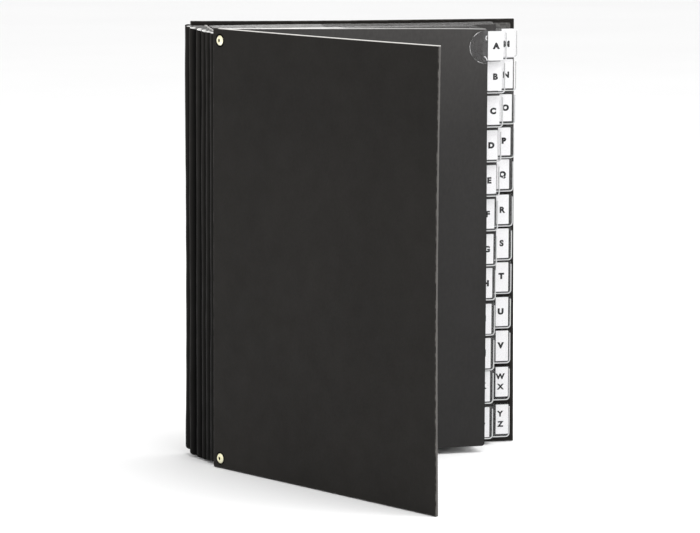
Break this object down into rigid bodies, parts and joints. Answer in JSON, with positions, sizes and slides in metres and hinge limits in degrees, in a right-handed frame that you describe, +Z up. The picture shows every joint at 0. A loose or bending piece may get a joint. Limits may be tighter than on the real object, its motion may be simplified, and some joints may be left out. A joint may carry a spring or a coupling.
{
  "type": "alphabetical desk sorter",
  "caption": "Upright book-form desk sorter: stiff hinged covers, an expanding cloth-pleated spine and index leaves with staggered lettered tabs on the fore-edge.",
  "frame": {"origin": "bottom centre of the whole object's box with the front cover part open", "axes": "+X from the spine to the fore-edge along the back cover, +Y out of the back cover's outside face, +Z up the book"},
  "size_m": [0.2706, 0.304, 0.345],
  "materials": {
    "cover_board": "laminated leather-grain, satin",
    "spine_cloth": "coated book cloth, matte",
    "index_leaf": "matte pressboard",
    "tab_sleeve": "clear, glossy",
    "tab_insert": "matte white card",
    "rivet": "pale, worn satin"
  },
  "bodies": {
    "root": {"back_cover": "cover_board", "back_rivet_lower": "rivet", "back_rivet_upper": "rivet"},
    "section_6": {"spine_pleat_6": "spine_cloth", "leaf_U": "index_leaf", "tab_U": "tab_sleeve"},
    "section_5": {"spine_pleat_5": "spine_cloth", "leaf_Q": "index_leaf", "tab_Q": "tab_sleeve"},
    "section_4": {"spine_pleat_4": "spine_cloth", "leaf_M": "index_leaf", "tab_M": "tab_sleeve"},
    "section_3": {"spine_pleat_3": "spine_cloth", "leaf_I": "index_leaf", "tab_I": "tab_sleeve"},
    "section_2": {"spine_pleat_2": "spine_cloth", "leaf_E": "index_leaf", "tab_E": "tab_sleeve"},
    "section_1": {"spine_pleat_1": "spine_cloth", "leaf_A": "index_leaf", "tab_A": "tab_sleeve"},
    "leaf_B": {"leaf_B": "index_leaf", "tab_B": "tab_sleeve"},
    "leaf_C": {"leaf_C": "index_leaf", "tab_C": "tab_sleeve"},
    "leaf_D": {"leaf_D": "index_leaf", "tab_D": "tab_sleeve"},
    "leaf_F": {"leaf_F": "index_leaf", "tab_F": "tab_sleeve"},
    "leaf_G": {"leaf_G": "index_leaf", "tab_G": "tab_sleeve"},
    "leaf_H": {"leaf_H": "index_leaf", "tab_H": "tab_sleeve"},
    "leaf_J": {"leaf_J": "index_leaf", "tab_J": "tab_sleeve"},
    "leaf_K": {"leaf_K": "index_leaf", "tab_K": "tab_sleeve"},
    "leaf_L": {"leaf_L": "index_leaf", "tab_L": "tab_sleeve"},
    "leaf_N": {"leaf_N": "index_leaf", "tab_N": "tab_sleeve"},
    "leaf_O": {"leaf_O": "index_leaf", "tab_O": "tab_sleeve"},
    "leaf_P": {"leaf_P": "index_leaf", "tab_P": "tab_sleeve"},
    "leaf_R": {"leaf_R": "index_leaf", "tab_R": "tab_sleeve"},
    "leaf_S": {"leaf_S": "index_leaf", "tab_S": "tab_sleeve"},
    "leaf_T": {"leaf_T": "index_leaf", "tab_T": "tab_sleeve"},
    "leaf_V": {"leaf_V": "index_leaf", "tab_V": "tab_sleeve"},
    "leaf_WX": {"leaf_WX": "index_leaf", "tab_WX": "tab_sleeve"},
    "leaf_YZ": {"leaf_YZ": "index_leaf", "tab_YZ": "tab_sleeve"},
    "front_cover": {"front_cover": "cover_board", "front_rivet_lower": "rivet", "front_rivet_upper": "rivet"}
  },
  "joints": [
    {"name": "section_6_hinge", "type": "hinge", "parent": "root", "child": "section_6", "pos_m": [-0.13231, 0.14629, 0.17325], "axis": [0, 0, -1], "range_deg": [0, 24]},
    {"name": "section_5_hinge", "type": "hinge", "parent": "section_6", "child": "section_5", "pos_m": [-0.13111, 0.13689, 0.17325], "axis": [0, 0, -1], "range_deg": [0, 24]},
    {"name": "section_4_hinge", "type": "hinge", "parent": "section_5", "child": "section_4", "pos_m": [-0.12731, 0.12749, 0.17325], "axis": [0, 0, -1], "range_deg": [0, 24]},
    {"name": "section_3_hinge", "type": "hinge", "parent": "section_4", "child": "section_3", "pos_m": [-0.12491, 0.11809, 0.17325], "axis": [0, 0, -1], "range_deg": [0, 24]},
    {"name": "section_2_hinge", "type": "hinge", "parent": "section_3", "child": "section_2", "pos_m": [-0.12331, 0.10869, 0.17325], "axis": [0, 0, -1], "range_deg": [0, 24]},
    {"name": "section_1_hinge", "type": "hinge", "parent": "section_2", "child": "section_1", "pos_m": [-0.12171, 0.09929, 0.17325], "axis": [0, 0, -1], "range_deg": [0, 24]},
    {"name": "leaf_B_hinge", "type": "hinge", "parent": "section_1", "child": "leaf_B", "pos_m": [-0.11551, 0.09344, 0.1725], "axis": [0, 0, -1], "range_deg": [-6.5, 0.5]},
    {"name": "leaf_C_hinge", "type": "hinge", "parent": "section_1", "child": "leaf_C", "pos_m": [-0.11551, 0.09574, 0.1725], "axis": [0, 0, -1], "range_deg": [-12.5, 0.5]},
    {"name": "leaf_D_hinge", "type": "hinge", "parent": "section_1", "child": "leaf_D", "pos_m": [-0.11551, 0.09804, 0.1725], "axis": [0, 0, -1], "range_deg": [-18.5, 0.5]},
    {"name": "leaf_F_hinge", "type": "hinge", "parent": "section_2", "child": "leaf_F", "pos_m": [-0.11551, 0.10284, 0.1725], "axis": [0, 0, -1], "range_deg": [-6.5, 0.5]},
    {"name": "leaf_G_hinge", "type": "hinge", "parent": "section_2", "child": "leaf_G", "pos_m": [-0.11551, 0.10514, 0.1725], "axis": [0, 0, -1], "range_deg": [-12.5, 0.5]},
    {"name": "leaf_H_hinge", "type": "hinge", "parent": "section_2", "child": "leaf_H", "pos_m": [-0.11551, 0.10744, 0.1725], "axis": [0, 0, -1], "range_deg": [-18.5, 0.5]},
    {"name": "leaf_J_hinge", "type": "hinge", "parent": "section_3", "child": "leaf_J", "pos_m": [-0.11551, 0.11224, 0.1725], "axis": [0, 0, -1], "range_deg": [-6.5, 0.5]},
    {"name": "leaf_K_hinge", "type": "hinge", "parent": "section_3", "child": "leaf_K", "pos_m": [-0.11551, 0.11454, 0.1725], "axis": [0, 0, -1], "range_deg": [-12.5, 0.5]},
    {"name": "leaf_L_hinge", "type": "hinge", "parent": "section_3", "child": "leaf_L", "pos_m": [-0.11551, 0.11684, 0.1725], "axis": [0, 0, -1], "range_deg": [-18.5, 0.5]},
    {"name": "leaf_N_hinge", "type": "hinge", "parent": "section_4", "child": "leaf_N", "pos_m": [-0.11551, 0.12164, 0.1725], "axis": [0, 0, -1], "range_deg": [-6.5, 0.5]},
    {"name": "leaf_O_hinge", "type": "hinge", "parent": "section_4", "child": "leaf_O", "pos_m": [-0.11551, 0.12394, 0.1725], "axis": [0, 0, -1], "range_deg": [-12.5, 0.5]},
    {"name": "leaf_P_hinge", "type": "hinge", "parent": "section_4", "child": "leaf_P", "pos_m": [-0.11551, 0.12624, 0.1725], "axis": [0, 0, -1], "range_deg": [-18.5, 0.5]},
    {"name": "leaf_R_hinge", "type": "hinge", "parent": "section_5", "child": "leaf_R", "pos_m": [-0.11551, 0.13104, 0.1725], "axis": [0, 0, -1], "range_deg": [-6.5, 0.5]},
    {"name": "leaf_S_hinge", "type": "hinge", "parent": "section_5", "child": "leaf_S", "pos_m": [-0.11551, 0.13334, 0.1725], "axis": [0, 0, -1], "range_deg": [-12.5, 0.5]},
    {"name": "leaf_T_hinge", "type": "hinge", "parent": "section_5", "child": "leaf_T", "pos_m": [-0.11551, 0.13564, 0.1725], "axis": [0, 0, -1], "range_deg": [-18.5, 0.5]},
    {"name": "leaf_V_hinge", "type": "hinge", "parent": "section_6", "child": "leaf_V", "pos_m": [-0.11551, 0.14044, 0.1725], "axis": [0, 0, -1], "range_deg": [-6.5, 0.5]},
    {"name": "leaf_WX_hinge", "type": "hinge", "parent": "section_6", "child": "leaf_WX", "pos_m": [-0.11551, 0.14274, 0.1725], "axis": [0, 0, -1], "range_deg": [-12.5, 0.5]},
    {"name": "leaf_YZ_hinge", "type": "hinge", "parent": "section_6", "child": "leaf_YZ", "pos_m": [-0.11551, 0.14504, 0.1725], "axis": [0, 0, -1], "range_deg": [-18.5, 0.5]},
    {"name": "front_cover_hinge", "type": "hinge", "parent": "section_1", "child": "front_cover", "pos_m": [-0.12221, 0.08579, 0.1725], "axis": [0, 0, -1], "range_deg": [-66.3, 115]}
  ],
  "couplings": [
    {"joint": "leaf_B_hinge", "follows": "section_1_hinge", "ratio": -0.25},
    {"joint": "leaf_C_hinge", "follows": "section_1_hinge", "ratio": -0.5},
    {"joint": "leaf_D_hinge", "follows": "section_1_hinge", "ratio": -0.75},
    {"joint": "leaf_F_hinge", "follows": "section_2_hinge", "ratio": -0.25},
    {"joint": "leaf_G_hinge", "follows": "section_2_hinge", "ratio": -0.5},
    {"joint": "leaf_H_hinge", "follows": "section_2_hinge", "ratio": -0.75},
    {"joint": "leaf_J_hinge", "follows": "section_3_hinge", "ratio": -0.25},
    {"joint": "leaf_K_hinge", "follows": "section_3_hinge", "ratio": -0.5},
    {"joint": "leaf_L_hinge", "follows": "section_3_hinge", "ratio": -0.75},
    {"joint": "leaf_N_hinge", "follows": "section_4_hinge", "ratio": -0.25},
    {"joint": "leaf_O_hinge", "follows": "section_4_hinge", "ratio": -0.5},
    {"joint": "leaf_P_hinge", "follows": "section_4_hinge", "ratio": -0.75},
    {"joint": "leaf_R_hinge", "follows": "section_5_hinge", "ratio": -0.25},
    {"joint": "leaf_S_hinge", "follows": "section_5_hinge", "ratio": -0.5},
    {"joint": "leaf_T_hinge", "follows": "section_5_hinge", "ratio": -0.75},
    {"joint": "leaf_V_hinge", "follows": "section_6_hinge", "ratio": -0.25},
    {"joint": "leaf_WX_hinge", "follows": "section_6_hinge", "ratio": -0.5},
    {"joint": "leaf_YZ_hinge", "follows": "section_6_hinge", "ratio": -0.75}
  ]
}
